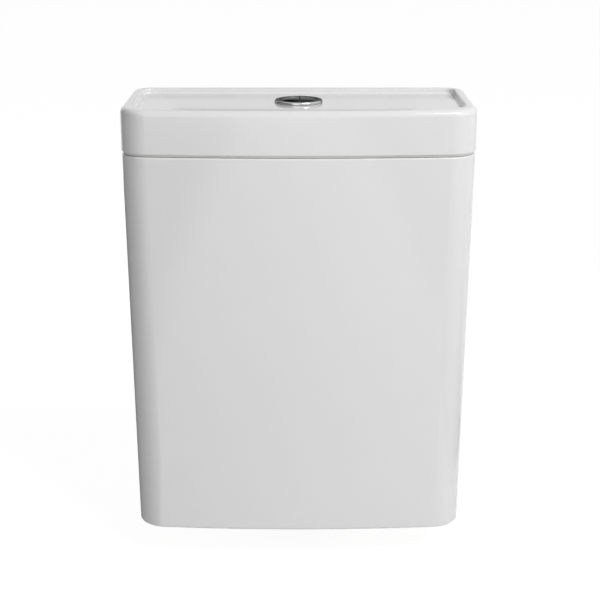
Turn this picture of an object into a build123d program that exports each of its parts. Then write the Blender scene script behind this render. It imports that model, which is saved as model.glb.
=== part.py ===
from build123d import *
from math import asin, atan2, cos, degrees, hypot, pi, sin, sqrt
import os

# Close-coupled toilet cistern with a dual flush button, in millimetres.
# Origin: centre of the outlet on the underside of the base.
# +X to the viewer's right, +Y to the wall, +Z up.

# Overall size of the lid, which the casting below follows
lid_half_w = 170.6
lid_front_y = -90.0
back_y = 67.5

# Cistern casting
body_h = 387.0
lid_overhang = 0.4
side_taper = 5.1
front_taper = 4.4
top_half_w = lid_half_w - lid_overhang
base_half_w = top_half_w - side_taper
top_front_y = lid_front_y + lid_overhang
base_front_y = top_front_y + front_taper
front_bow_r = 1650.0
top_corner_r = 28.0
base_corner_r = 29.0
back_corner_r = 20.0
wall_t = 10.0
floor_t = 11.0
base_edge_r = 2.5
rim_edge_r = 1.4
cavity_edge_r = 4.0
back_trim = 0.05

# Lid casting
lid_gap = 2.6
lid_h = 42.4
lid_edge_r = 6.0
lid_foot_r = 0.6
lid_rim_w = 11.0
lid_front_rim_w = 15.0
lid_recess_depth = 5.5
lid_recess_edge_r = 1.8
lid_recess_foot_r = 1.6
lid_deck_t = 9.5
lip_drop = 8.0
lip_t = 5.5
lip_clear = 1.6
lid_seat_inset = 1.6
lid_seat_edge_r = 0.5
pad_inset = 6.5
pad_len = 22.0
pad_w = 4.5
pad_t = 0.5

# Common fits
run_clear = 0.08
loose_clear = 0.4
touch_clear = 0.25
overrun = 5.0
slot_clear = 1.0

# Holes in the casting
outlet_hole_r = 32.5
pan_hole_r = 6.0
inlet_share = 0.65
inlet_shift = 7.685
inlet_offset_x = base_half_w * inlet_share + inlet_shift
stud_share = 0.65
stud_shift = 0.25
pan_half_pitch = inlet_offset_x * stud_share + stud_shift
inlet_hole_r = 12.5
wall_hole_inset = 60.2
wall_hole_drop = 52.0
wall_hole_x = top_half_w - wall_hole_inset
wall_hole_z = body_h - wall_hole_drop
wall_hole_r = 4.0

# Flush valve base, washer, nut and gasket
tail_r = 29.8
tail_drop = 24.0
tail_lead = 6.0
throat_step = 1.0
waterway_r = 25.0
thread_pitch = 2.5
thread_depth = 0.7
valve_washer_t = 3.0
valve_washer_r = 41.0
valve_flange_t = 5.0
valve_flange_r = 42.0
seat_h = 14.0
seat_lip_h = 2.5
seat_lip_t = 2.0
backnut_t = 11.0
backnut_flat_r = 35.0
backnut_edge_r = 3.0
coupling_t = 15.0
coupling_r = 50.0
coupling_edge_r = 4.0

# Flush valve tower
cage_r = 36.0
cage_t = 3.0
cage_h = 46.0
cage_window_h = 26.0
cage_window_w = 28.0
cage_windows = 4
shoulder_h = 9.0
tower_r = 24.0
tower_t = 2.5
pivot_drop = 81.0
head_rise = 66.0
pivot_z = body_h - pivot_drop
tower_top_z = pivot_z - head_rise
tower_cap_t = 4.0
tower_slot_w = 12.0
tower_slot_h = 52.0
tower_slot_rise = 18.0
tower_slots = 3
tower_band_h = 5.0
tower_band_t = 1.5
guide_eye_share = 0.42
guide_eye_h = 8.0
guide_eye_t = 2.5

# Overflow tube, seal and lifting hook
overflow_r = 13.0
overflow_t = 2.0
overflow_drop = 21.0
overflow_top_z = pivot_z - overflow_drop
holder_r = 26.0
holder_t = 4.0
holder_hub_r = 16.0
holder_hub_h = 9.0
seal_r = 30.5
seal_t = 3.0
hook_w = 9.0
hook_t = 8.0
hook_finger_r = 3.0
hook_post_t = 4.0

# Rockers, their pin and the head
rod_x = 8.5
rod_y = -5.5
pivot_y = 16.5
rear_arm = 20.0
rocker_t = 5.0
rocker_depth = 5.0
rocker_hub_r = 5.0
rocker_pad_r = 4.5
rocker_pad_t = 5.0
pin_r = 2.0
pin_head_r = 3.4
pin_head_t = 1.5
cheek_x = 20.0
cheek_t = 3.5
cheek_half_d = 8.0
head_t = 4.0
head_half_w = 27.0
head_front_y = -22.0
head_back_y = 27.0
head_corner_r = 8.0
bush_r = 3.6

# Button unit
button_travel = 8.0
bezel_r = 23.6
bezel_t = 2.4
bezel_edge_r = 1.4
bezel_open_r = 18.8
bezel_gasket_t = 0.6
bezel_gasket_r = 22.6
sleeve_r = 20.0
sleeve_drop = 21.0
sleeve_floor_t = 3.0
sleeve_floor_slot_r = 3.0
lid_hole_clear = 0.7
ring_nut_t = 8.0
ring_nut_r = 27.0
ring_nut_lobes = 8
ring_nut_lobe_r = 3.0
button_skirt_t = 1.4
button_top_t = 2.4
button_skirt_h = 10.0
button_sink = 0.5
button_clear = 0.35
button_split_x = 1.0
button_edge_r = 0.5
stem_r = 3.8
stem_drop = 13.0
spring_wire_r = 0.45
spring_r = 4.9
spring_turns = 6
spring_check_steps = 24
rod_r = 2.5
rod_in_stem = 22.0
rod_tip_r = 3.0
rod_nut_t = 4.0
rod_nut_flat_r = 4.5

# Half flush float and rod
half_rod_x = 18.0
half_rod_y = 40.0
half_rod_r = 2.5
half_float_r = 12.5
half_float_h = 46.0
half_float_rise = 15.2
half_float_headroom = 17.2
half_float_edge_r = 2.5
half_rod_end = 8.0

# Fill valve
shank_r = 10.48
shank_drop = 32.0
shank_bore_r = 6.5
shank_lead = 0.8
shank_pitch = 1.81
shank_thread_depth = 0.8
fill_flange_r = 20.0
fill_flange_t = 5.0
fill_washer_t = 4.0
fill_washer_r = 19.0
riser_r = 12.0
riser_t = 2.0
riser_drop = 125.0
riser_top_z = body_h - riser_drop
fill_nut_t = 9.0
fill_nut_flat_r = 16.0
filter_r = 5.6
filter_t = 1.0
filter_h = 24.0
filter_collar_t = 2.0
filter_slots = 6
fill_head_r = 17.0
fill_head_h = 26.0
fill_head_bore_r = 13.0
fill_seat_r = 4.0
diaphragm_t = 2.5
fill_cap_t = 9.0
fill_cap_ribs = 18
fill_cap_rib_r = 1.0
float_r = 31.0
float_h = 58.0
float_drop = 86.0
float_z = riser_top_z - float_drop
float_t = 2.0
float_travel = 14.0
float_clear = 1.6
float_rod_y = -26.0
float_rod_r = 2.0
lever_pivot_y = 16.0
lever_pivot_lift = 8.0
lever_w = 8.0
lever_t = 4.0
lever_ear_t = 3.0
lever_pin_r = 1.5
lever_slot_half = 1.4
rod_collar_r = 5.0
rod_collar_t = 3.0
rod_collar_gap = 1.2
delivery_r = 6.0
delivery_t = 1.5
delivery_offset_x = float_r + delivery_r + 2 * slot_clear
delivery_drop = 166.0
delivery_bottom_z = riser_top_z - delivery_drop

# Blanking plug set
plug_flange_r = 19.0
plug_flange_t = 5.0
plug_cross_w = 5.0
plug_cross_h = 8.0
plug_r = 10.2

# Pan fixing studs
stud_r = 4.0
stud_drop = 36.0
stud_head_flat_r = 6.5
stud_head_t = 5.5
stud_washer_r = 12.0
stud_washer_t = 1.6
cone_r = 13.0
cone_t = 7.0
cone_nose_r = 5.6
cone_nose_drop = 4.0
stud_nut_flat_r = 6.5
stud_nut_t = 6.5
stud_lead = 0.8
stud_pitch = 1.25
stud_thread_depth = 0.5

os.makedirs("parts", exist_ok=True)


def save(shape, name):
    """Write one piece, or one group of like pieces, to its own file."""
    export_step(shape, "parts/" + name + ".step")


def tube(outer_r, inner_r, low_z, high_z):
    """Ring or pipe on the Z axis between two heights."""
    ring = Cylinder(outer_r, high_z - low_z, align=(Align.CENTER, Align.CENTER, Align.MIN))
    if inner_r > 0:
        bore = Cylinder(inner_r, high_z - low_z, align=(Align.CENTER, Align.CENTER, Align.MIN))
        ring = ring - bore
    return Pos(0, 0, low_z) * ring


def block(x_low, x_high, y_low, y_high, z_low, z_high):
    """Box given by its two corners."""
    box = Box(x_high - x_low, y_high - y_low, z_high - z_low)
    middle = ((x_low + x_high) / 2, (y_low + y_high) / 2, (z_low + z_high) / 2)
    return Pos(*middle) * box


def cross_rod(radius, x_low, x_high, y, z):
    """Round bar along X."""
    bar = Cylinder(radius, x_high - x_low)
    return Pos((x_low + x_high) / 2, y, z) * Rot(0, 90, 0) * bar


def hexagon(flat_r, low_z, high_z):
    """Hexagonal prism with the given distance from its axis to each flat."""
    sketch = RegularPolygon(flat_r, 6, major_radius=False)
    return Pos(0, 0, low_z) * extrude(sketch, high_z - low_z)


def threaded(outer_r, depth, pitch, low_z, high_z, inner_r=0.0):
    """Bar or pipe whose outside carries thread ridges, one groove to each pitch."""
    count = int((high_z - low_z) / pitch)
    step = (high_z - low_z) / count
    outline = [(inner_r, low_z), (outer_r - depth, low_z)]
    for turn in range(count):
        outline.append((outer_r, low_z + (turn + 0.5) * step))
        outline.append((outer_r - depth, low_z + (turn + 1) * step))
    outline.append((inner_r, high_z))
    sketch = make_face(Polyline(*outline, close=True))
    return revolve(Rot(90, 0, 0) * sketch, Axis.Z, 360)


def turned(outline):
    """Solid of revolution about Z from (radius, height) points."""
    return revolve(Rot(90, 0, 0) * make_face(Polyline(*outline, close=True)), Axis.Z, 360)


def plan(half_w, front_y, rear_y, front_r, rear_r, z):
    """Outline seen from above: bowed front, round corners, straight sides and back."""
    bow_y = front_y + front_bow_r
    corner_x = half_w - front_r
    corner_y = bow_y - sqrt((front_bow_r - front_r) ** 2 - corner_x**2)
    lean = asin(corner_x / (front_bow_r - front_r))
    touch_x = corner_x + front_r * sin(lean)
    touch_y = corner_y - front_r * cos(lean)
    half_turn = (pi / 2 - lean) / 2
    mid_x = corner_x + front_r * sin(lean + half_turn)
    mid_y = corner_y - front_r * cos(lean + half_turn)
    rear_c = rear_r * (1 - sqrt(0.5))
    edges = [
        ThreePointArc((-touch_x, touch_y), (0, front_y), (touch_x, touch_y)),
        ThreePointArc((touch_x, touch_y), (mid_x, mid_y), (half_w, corner_y)),
        Line((half_w, corner_y), (half_w, rear_y - rear_r)),
        ThreePointArc(
            (half_w, rear_y - rear_r),
            (half_w - rear_c, rear_y - rear_c),
            (half_w - rear_r, rear_y),
        ),
        Line((half_w - rear_r, rear_y), (rear_r - half_w, rear_y)),
        ThreePointArc(
            (rear_r - half_w, rear_y),
            (rear_c - half_w, rear_y - rear_c),
            (-half_w, rear_y - rear_r),
        ),
        Line((-half_w, rear_y - rear_r), (-half_w, corner_y)),
        ThreePointArc((-half_w, corner_y), (-mid_x, mid_y), (-touch_x, touch_y)),
    ]
    return Pos(0, 0, z) * make_face(edges)


def body_plan(z, inset):
    """Outline of the tapering body at a height, drawn in by an inset."""
    share = z / body_h
    half_w = base_half_w + (top_half_w - base_half_w) * share
    front_y = base_front_y + (top_front_y - base_front_y) * share
    front_r = base_corner_r + (top_corner_r - base_corner_r) * share
    return plan(
        half_w - inset,
        front_y + inset,
        back_y + back_trim - inset,
        front_r - inset,
        back_corner_r - inset,
        z,
    )


def lid_plan(z, inset):
    """Outline of the upright lid at a height, drawn in by an inset."""
    return plan(
        lid_half_w - inset,
        lid_front_y + inset,
        back_y - inset,
        top_corner_r - inset,
        back_corner_r - inset,
        z,
    )


# Cistern body
def make_body():
    outer = loft([body_plan(0, 0), body_plan(body_h, 0)], ruled=True)
    reach = lid_half_w + overrun
    outer -= block(-reach, reach, back_y, back_y + overrun, -overrun, body_h + overrun)
    outer = fillet(outer.faces().sort_by(Axis.Z)[0].edges(), base_edge_r)
    cavity = loft([body_plan(floor_t, wall_t), body_plan(body_h + overrun, wall_t)], ruled=True)
    cavity = fillet(cavity.faces().sort_by(Axis.Z)[0].edges(), cavity_edge_r)
    shell = outer - cavity
    shell = fillet(shell.faces().sort_by(Axis.Z)[-1].edges(), rim_edge_r)
    shell -= tube(outlet_hole_r, 0, -overrun, floor_t + overrun)
    for side in (-1, 1):
        shell -= Pos(side * pan_half_pitch, 0, 0) * tube(pan_hole_r, 0, -overrun, floor_t + overrun)
        shell -= Pos(side * inlet_offset_x, 0, 0) * tube(
            inlet_hole_r, 0, -overrun, floor_t + overrun
        )
        wall_hole = Rot(90, 0, 0) * Cylinder(wall_hole_r, wall_t + 2 * overrun)
        shell -= Pos(side * wall_hole_x, back_y - wall_t / 2, wall_hole_z) * wall_hole
    return shell


# Lid and its pads
lid_low_z = body_h + lid_gap
lid_top_z = lid_low_z + lid_h
recess_z = lid_top_z - lid_recess_depth
deck_low_z = recess_z - lid_deck_t
lip_inset = wall_t + lip_clear
lid_hole_r = sleeve_r + lid_hole_clear


def make_lid():
    inner_inset = lip_inset + lip_t
    outer = extrude(lid_plan(lid_low_z, 0), lid_h)
    outer = fillet(outer.faces().sort_by(Axis.Z)[-1].edges(), lid_edge_r)
    outer = fillet(outer.faces().sort_by(Axis.Z)[0].edges(), lid_foot_r)
    seat = extrude(lid_plan(body_h + pad_t, lid_seat_inset), lid_gap - pad_t + lid_foot_r)
    seat = fillet(seat.faces().sort_by(Axis.Z)[0].edges(), lid_seat_edge_r)
    lip = extrude(lid_plan(lid_low_z - lip_drop, lip_inset), lip_drop + lid_foot_r)
    hollow = extrude(lid_plan(lid_low_z - lip_drop, inner_inset), deck_low_z - lid_low_z + lip_drop)
    lid = outer + seat + lip - hollow
    recess_plan = plan(
        lid_half_w - lid_rim_w,
        lid_front_y + lid_front_rim_w,
        back_y - lid_rim_w,
        top_corner_r - lid_rim_w,
        back_corner_r - lid_rim_w,
        recess_z,
    )
    recess = extrude(recess_plan, lid_recess_depth)
    recess = fillet(recess.faces().sort_by(Axis.Z)[0].edges(), lid_recess_foot_r)
    lid -= recess
    rim_top = lid.faces().filter_by(Axis.Z).sort_by(Axis.Z)[-1]
    inner_ring = rim_top.inner_wires()[0].edges()
    lid = fillet(inner_ring, lid_recess_edge_r)
    lid -= tube(lid_hole_r, 0, deck_low_z - overrun, recess_z + overrun)
    return lid


def make_pads():
    pads = []
    for side in (-1, 1):
        pad = block(-pad_len / 2, pad_len / 2, -pad_w / 2, pad_w / 2, body_h, body_h + pad_t)
        rear = Pos(side * lid_half_w / 2, back_y - pad_inset, 0) * pad
        flank_x = side * (lid_half_w - pad_inset)
        flank = Pos(flank_x, (lid_front_y + back_y) / 2, 0) * Rot(0, 0, 90) * pad
        pads.append(rear)
        pads.append(flank)
    return Compound(children=pads)


# Flush valve: base, washer, nut and coupling gasket
valve_flange_z = floor_t + valve_washer_t
seat_flange_z = valve_flange_z + valve_flange_t
seat_z = seat_flange_z + seat_h
throat_r = waterway_r + throat_step
seat_r = throat_r + seat_lip_t


def make_valve_base():
    lead = tube(tail_r - thread_depth, waterway_r, -tail_drop, tail_lead - tail_drop)
    tail = threaded(tail_r, thread_depth, thread_pitch, tail_lead - tail_drop, 0, waterway_r)
    neck = tube(tail_r, waterway_r, 0, valve_flange_z)
    flange = tube(valve_flange_r, waterway_r, valve_flange_z, seat_flange_z)
    throat = tube(seat_r + seat_lip_t, throat_r, seat_flange_z, seat_z - seat_lip_h)
    lip = tube(seat_r, throat_r, seat_z - seat_lip_h, seat_z)
    return lead + tail + neck + flange + throat + lip


def make_backnut(flat_r, bore_r, thick, edge_r):
    nut = hexagon(flat_r, -thick, 0)
    nut = fillet(nut.edges().filter_by(Axis.Z), edge_r)
    return nut - tube(bore_r, 0, -thick - overrun, overrun)


nut_corner_r = backnut_flat_r / cos(pi / 6)


def make_coupling_gasket():
    ring = tube(coupling_r, nut_corner_r + touch_clear, -coupling_t, -touch_clear)
    outside = ring.edges().filter_by(GeomType.CIRCLE).sort_by(SortBy.RADIUS)[-2:]
    return fillet(outside, coupling_edge_r)


# Flush valve tower, with its windows, slots and rod guides
cage_top_z = seat_flange_z + cage_h
shoulder_top_z = cage_top_z + shoulder_h
tower_cap_z = tower_top_z + tower_cap_t
guide_low_z = tower_top_z * guide_eye_share
half_float_z = guide_low_z + guide_eye_h + half_float_rise
half_float_top_z = half_float_z + half_float_h
guide_high_z = half_float_top_z + half_float_headroom


def make_tower():
    outline = [
        (cage_r - cage_t, seat_flange_z),
        (cage_r, seat_flange_z),
        (cage_r, cage_top_z),
        (tower_r, shoulder_top_z),
        (tower_r, tower_cap_z),
        (overflow_r + loose_clear, tower_cap_z),
        (overflow_r + loose_clear, tower_top_z),
        (tower_r - tower_t, tower_top_z),
        (tower_r - tower_t, shoulder_top_z),
        (cage_r - cage_t, cage_top_z),
    ]
    tower = turned(outline)
    for z in (shoulder_top_z, tower_top_z - tower_band_h):
        tower += tube(tower_r + tower_band_t, tower_r - tower_t, z, z + tower_band_h)
    for window in range(cage_windows):
        opening = block(
            0,
            cage_r + overrun,
            -cage_window_w / 2,
            cage_window_w / 2,
            seat_flange_z + cage_t,
            seat_flange_z + cage_t + cage_window_h,
        )
        tower -= Rot(0, 0, 360 * (window + 0.5) / cage_windows) * opening
    for slot in range(tower_slots):
        opening = block(
            0,
            tower_r + overrun,
            -tower_slot_w / 2,
            tower_slot_w / 2,
            shoulder_top_z + tower_slot_rise,
            shoulder_top_z + tower_slot_rise + tower_slot_h,
        )
        opening = fillet(opening.edges().filter_by(Axis.X), tower_slot_w / 2 - touch_clear)
        tower -= Rot(0, 0, 360 * slot / tower_slots) * opening
    for z in (guide_low_z, guide_high_z):
        tower += make_guide_eye(z)
    return tower


def make_guide_eye(z):
    """Eye round the half flush rod, on an arm from the tower's side."""
    reach = hypot(half_rod_x, half_rod_y)
    turn = degrees(atan2(half_rod_y, half_rod_x))
    bore_r = half_rod_r + run_clear
    start = tower_r - tower_t / 2
    arm = block(start, reach, -guide_eye_t, guide_eye_t, z, z + guide_eye_h)
    eye = Pos(reach, 0, 0) * tube(bore_r + guide_eye_t, 0, z, z + guide_eye_h)
    bore = Pos(reach, 0, 0) * tube(bore_r, 0, z - overrun, z + guide_eye_h + overrun)
    return Rot(0, 0, turn) * (arm + eye - bore)


# Overflow tube with its lifting hook, seal holder and seal
rocker_swing = asin(button_travel / 2 / (pivot_y - rod_y))
front_arm = pivot_y - rod_y
lift = 2 * rear_arm * sin(rocker_swing)
rear_y = pivot_y + rear_arm
half_depth = rocker_depth / 2
finger_rise = half_depth + hook_finger_r + touch_clear - rear_arm * sin(rocker_swing)
finger_z = pivot_z + finger_rise / cos(rocker_swing)
seal_low_z = seat_z + touch_clear
holder_z = seal_low_z + seal_t


def make_hook(x_middle, x_base):
    """Post behind the rocker with a round finger over the end of its rear arm."""
    post_y = rear_y + hook_finger_r + slot_clear
    post = block(
        x_base - hook_w / 2,
        x_base + hook_w / 2,
        post_y,
        post_y + hook_post_t,
        overflow_top_z - hook_t,
        finger_z + hook_finger_r,
    )
    left = min(x_middle, x_base) - hook_w / 2
    right = max(x_middle, x_base) + hook_w / 2
    bridge = block(
        left,
        right,
        rear_y,
        post_y + hook_post_t,
        finger_z,
        finger_z + hook_finger_r,
    )
    finger = cross_rod(hook_finger_r, x_middle - hook_w / 2, x_middle + hook_w / 2, rear_y, finger_z)
    return post + bridge + finger


def make_overflow_tube():
    inner_r = overflow_r - overflow_t
    pipe = tube(overflow_r, inner_r, seal_low_z, overflow_top_z)
    arm = block(
        -rod_x - hook_w / 2,
        -rod_x + hook_w / 2,
        0,
        rear_y + hook_finger_r + slot_clear + hook_post_t,
        overflow_top_z - hook_t,
        overflow_top_z,
    )
    arm -= tube(inner_r + overflow_t / 2, 0, overflow_top_z - hook_t, overflow_top_z)
    return pipe + arm + make_hook(-rod_x, -rod_x)


def make_seal_holder():
    disc = tube(holder_r, overflow_r, holder_z, holder_z + holder_t)
    hub = tube(holder_hub_r, overflow_r, holder_z + holder_t, holder_z + holder_t + holder_hub_h)
    return disc + hub


# Half flush rod with its hook, and the float on the rod


def make_half_rod():
    low_z = guide_low_z - half_rod_end
    rod = Pos(half_rod_x, half_rod_y, 0) * tube(half_rod_r, 0, low_z, finger_z + hook_finger_r)
    bridge = block(
        rod_x - hook_w / 2,
        half_rod_x + half_rod_r,
        rear_y,
        half_rod_y + half_rod_r,
        finger_z,
        finger_z + hook_finger_r,
    )
    finger = cross_rod(hook_finger_r, rod_x - hook_w / 2, rod_x + hook_w / 2, rear_y, finger_z)
    return rod + bridge + finger


def make_half_float():
    cup = tube(half_float_r, half_rod_r, half_float_z, half_float_top_z)
    rims = cup.edges().filter_by(GeomType.CIRCLE).sort_by(SortBy.RADIUS)[-2:]
    return Pos(half_rod_x, half_rod_y, 0) * fillet(rims, half_float_edge_r)


# Head of the flush valve, rocker pin, bushes and rockers
head_low_z = tower_cap_z
cheek_top_z = pivot_z + rocker_hub_r


def make_head():
    plate = RectangleRounded(2 * head_half_w, head_back_y - head_front_y, head_corner_r)
    plate = Pos(0, (head_back_y + head_front_y) / 2, head_low_z) * extrude(plate, head_t)
    head = plate
    for side in (-1, 1):
        inner = side * cheek_x
        outer = side * (cheek_x + cheek_t)
        cheek = block(
            min(inner, outer),
            max(inner, outer),
            pivot_y - cheek_half_d,
            pivot_y + cheek_half_d,
            head_low_z,
            cheek_top_z,
        )
        cheek = fillet(cheek.edges().filter_by(Axis.X).sort_by(Axis.Z)[-2:], rocker_hub_r)
        head += cheek
    head -= tube(overflow_r + slot_clear, 0, head_low_z - overrun, head_low_z + head_t + overrun)
    reach = cheek_x + cheek_t + overrun
    head -= cross_rod(pin_r + run_clear, -reach, reach, pivot_y, pivot_z)
    return head


def make_rocker_pin():
    reach = cheek_x + cheek_t + touch_clear
    pin = cross_rod(pin_r, -reach, reach + pin_head_t, pivot_y, pivot_z)
    return pin + cross_rod(pin_head_r, -reach - pin_head_t, -reach, pivot_y, pivot_z)


def make_bushes():
    """Three spacers on the pin that keep the rockers under their push rods."""
    bore_r = pin_r + run_clear
    inner_end = rod_x - rocker_t / 2 - touch_clear
    outer_start = rod_x + rocker_t / 2 + touch_clear
    outer_end = cheek_x - touch_clear
    spans = [(-inner_end, inner_end), (outer_start, outer_end), (-outer_end, -outer_start)]
    bushes = []
    for low, high in spans:
        bush = cross_rod(bush_r, low, high, pivot_y, pivot_z)
        bushes.append(bush - cross_rod(bore_r, low - overrun, high + overrun, pivot_y, pivot_z))
    return Compound(children=bushes)


def make_rocker(x_middle):
    """Rocker at rest: its front arm is up under the push rod, its rear arm is down."""
    left = x_middle - rocker_t / 2
    right = x_middle + rocker_t / 2
    front = block(left, right, -front_arm, 0, -half_depth, half_depth)
    rear = block(left, right, 0, rear_arm, -half_depth, half_depth)
    hub = cross_rod(rocker_hub_r - slot_clear, left, right, 0, 0)
    toe = cross_rod(half_depth, left, right, rear_arm, 0)
    pad = tube(rocker_pad_r, 0, half_depth - rocker_pad_t, half_depth)
    rocker = front + rear + hub + toe + Pos(x_middle, -front_arm / cos(rocker_swing), 0) * pad
    rocker -= cross_rod(pin_r + run_clear, left - overrun, right + overrun, 0, 0)
    return Pos(0, pivot_y, pivot_z) * Rot(-degrees(rocker_swing), 0, 0) * rocker


# Button unit
bezel_low_z = recess_z + bezel_gasket_t
bezel_top_z = bezel_low_z + bezel_t
sleeve_low_z = deck_low_z - sleeve_drop
sleeve_inner_r = bezel_open_r
sleeve_floor_z = sleeve_low_z + sleeve_floor_t
button_top_z = bezel_top_z - button_sink
button_under_z = button_top_z - button_top_t
button_r = bezel_open_r - button_clear
stem_low_z = sleeve_low_z - stem_drop
tip_rise = half_depth + rod_tip_r + touch_clear + front_arm * sin(rocker_swing)
tip_z = pivot_z + tip_rise / cos(rocker_swing)


def make_bezel():
    flange = tube(bezel_r, bezel_open_r, bezel_low_z, bezel_top_z)
    top_edges = flange.edges().filter_by(GeomType.CIRCLE).group_by(Axis.Z)[-1]
    flange = fillet(top_edges.sort_by(SortBy.RADIUS)[-1], bezel_edge_r)
    grip = threaded(sleeve_r, thread_depth, thread_pitch, sleeve_low_z, deck_low_z, sleeve_inner_r)
    neck = tube(sleeve_r, sleeve_inner_r, deck_low_z, bezel_low_z)
    floor = tube(sleeve_r - thread_depth, 0, sleeve_low_z, sleeve_floor_z)
    unit = flange + grip + neck + floor
    for side in (-1, 1):
        bore = tube(stem_r + run_clear, 0, sleeve_low_z - overrun, sleeve_floor_z + overrun)
        unit -= Pos(side * rod_x, rod_y, 0) * bore
        drain = tube(sleeve_floor_slot_r, 0, sleeve_low_z - overrun, sleeve_floor_z + overrun)
        unit -= Pos(side * rod_x, -2 * rod_y, 0) * drain
    return unit


def make_bezel_gasket():
    return tube(bezel_gasket_r, lid_hole_r, recess_z, bezel_low_z)


def make_ring_nut():
    low_z = deck_low_z - ring_nut_t
    nut = tube(ring_nut_r, sleeve_r + run_clear, low_z, deck_low_z)
    for lobe in range(ring_nut_lobes):
        notch = Pos(ring_nut_r, 0, 0) * tube(ring_nut_lobe_r, 0, low_z - overrun, deck_low_z + overrun)
        nut -= Rot(0, 0, 360 * lobe / ring_nut_lobes) * notch
    return nut


def make_button(side):
    """One half of the round button: side -1 is the full flush, side 1 the half flush."""
    low_z = button_top_z - button_skirt_h
    disc = tube(button_r, 0, low_z, button_top_z)
    split = button_split_x + side * button_clear / 2
    reach = 2 * bezel_r
    outer_keep = [split, split + side * reach]
    keep = block(min(outer_keep), max(outer_keep), -reach, reach, low_z, button_top_z)
    plate = disc & keep
    plate = fillet(plate.faces().sort_by(Axis.Z)[-1].edges(), button_edge_r)
    hollow = tube(button_r - button_skirt_t, 0, low_z, button_under_z)
    inner = [split + side * button_skirt_t, split + side * reach]
    hollow = hollow & block(min(inner), max(inner), -reach, reach, low_z, button_under_z)
    place = Pos(side * rod_x, rod_y, 0)
    stem = place * tube(stem_r, 0, stem_low_z, button_under_z)
    socket = place * tube(rod_r, 0, stem_low_z, stem_low_z + rod_in_stem)
    return plate - hollow + stem - socket


def biarc(start, end, start_dir, end_dir):
    """Two tangent arcs from start to end."""
    span = end - start
    both = start_dir + end_dir
    slack = 2 * (1 - start_dir.dot(end_dir))
    along = span.dot(both)
    reach = (sqrt(along**2 + slack * span.dot(span)) - along) / slack
    near = start + start_dir * reach
    far = end - end_dir * reach
    joint = (near + far) * 0.5
    first = TangentArc(start, joint, tangent=start_dir)
    second = TangentArc(joint, end, tangent=(far - near).normalized())
    return [first, second]


def make_spring(side):
    """Helical return spring round a button's stem, one unbroken wire on biarcs."""
    low_z = sleeve_floor_z + spring_wire_r + touch_clear
    high_z = button_under_z - spring_wire_r - touch_clear
    rise = (high_z - low_z) / spring_turns
    quarters = 4 * spring_turns
    points = []
    tangents = []
    for quarter in range(quarters + 1):
        angle = quarter * pi / 2
        points.append(
            Vector(spring_r * cos(angle), spring_r * sin(angle), low_z + rise * quarter / 4)
        )
        slope = Vector(-spring_r * sin(angle), spring_r * cos(angle), rise / (2 * pi))
        tangents.append(slope.normalized())
    arcs = []
    for quarter in range(quarters):
        arcs += biarc(
            points[quarter], points[quarter + 1], tangents[quarter], tangents[quarter + 1]
        )
    wire = Wire(arcs)
    section = Plane(origin=points[0], z_dir=tangents[0]) * Circle(spring_wire_r)
    coil = sweep(section, path=wire)
    return Pos(side * rod_x, rod_y, 0) * coil


def spring_gap():
    """Least gap between neighbouring turns of a button spring, measured on points."""
    free = button_under_z - sleeve_floor_z - 2 * (spring_wire_r + touch_clear)
    rise = free / spring_turns
    steps = spring_check_steps
    least = free
    for first in range(spring_turns * steps):
        for second in range(first + steps // 2, spring_turns * steps):
            angle = 2 * pi * (second - first) / steps
            flat = 2 * spring_r * abs(sin(angle / 2))
            climb = rise * (second - first) / steps
            least = min(least, hypot(flat, climb) - 2 * spring_wire_r)
    return least


def make_push_rod(side):
    high_z = stem_low_z + rod_in_stem
    shank = tube(rod_r, 0, tip_z, high_z)
    ball = Pos(0, 0, tip_z) * Sphere(rod_tip_r)
    return Pos(side * rod_x, rod_y, 0) * (shank + ball)


def make_rod_nut(side):
    nut = hexagon(rod_nut_flat_r, stem_low_z - rod_nut_t, stem_low_z)
    nut -= tube(rod_r, 0, stem_low_z - rod_nut_t, stem_low_z)
    return Pos(side * rod_x, rod_y, 0) * nut


# Fill valve
fill_flange_z = floor_t + fill_washer_t
riser_low_z = fill_flange_z + fill_flange_t
fill_head_top_z = riser_top_z + fill_head_h
lever_swing = asin(float_travel / 2 / (lever_pivot_y - float_rod_y))
lever_pivot_z = fill_head_top_z + fill_cap_t + lever_pivot_lift
lever_arm = lever_pivot_y - float_rod_y


def at_fill(shape):
    return Pos(-inlet_offset_x, 0, 0) * shape


def make_shank():
    plain_z = -fill_nut_t - slot_clear
    plain = tube(shank_r, shank_bore_r, -shank_drop, plain_z)
    mouth = plain.edges().filter_by(GeomType.CIRCLE).group_by(Axis.Z)[0]
    plain = chamfer(mouth.sort_by(SortBy.RADIUS)[-1], shank_lead)
    neck = threaded(
        shank_r, shank_thread_depth, shank_pitch, plain_z, fill_flange_z, shank_bore_r
    )
    flange = tube(fill_flange_r, shank_bore_r, fill_flange_z, riser_low_z)
    riser = tube(riser_r, riser_r - riser_t, riser_low_z, riser_top_z)
    return at_fill(plain + neck + flange + riser)


def make_filter():
    """Slotted strainer pushed into the mouth of the shank."""
    low_z = -shank_drop
    body = tube(filter_r, filter_r - filter_t, low_z + filter_collar_t, low_z + filter_h)
    end = tube(filter_r, 0, low_z + filter_h - filter_collar_t, low_z + filter_h)
    collar = tube(shank_bore_r - run_clear, filter_r - filter_t, low_z, low_z + filter_collar_t)
    strainer = body + end + collar
    for slot in range(filter_slots):
        opening = block(
            0,
            filter_r + overrun,
            -filter_r / filter_slots,
            filter_r / filter_slots,
            low_z + 2 * filter_collar_t,
            low_z + filter_h - 2 * filter_collar_t,
        )
        strainer -= Rot(0, 0, 360 * slot / filter_slots) * opening
    return at_fill(strainer)


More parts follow.
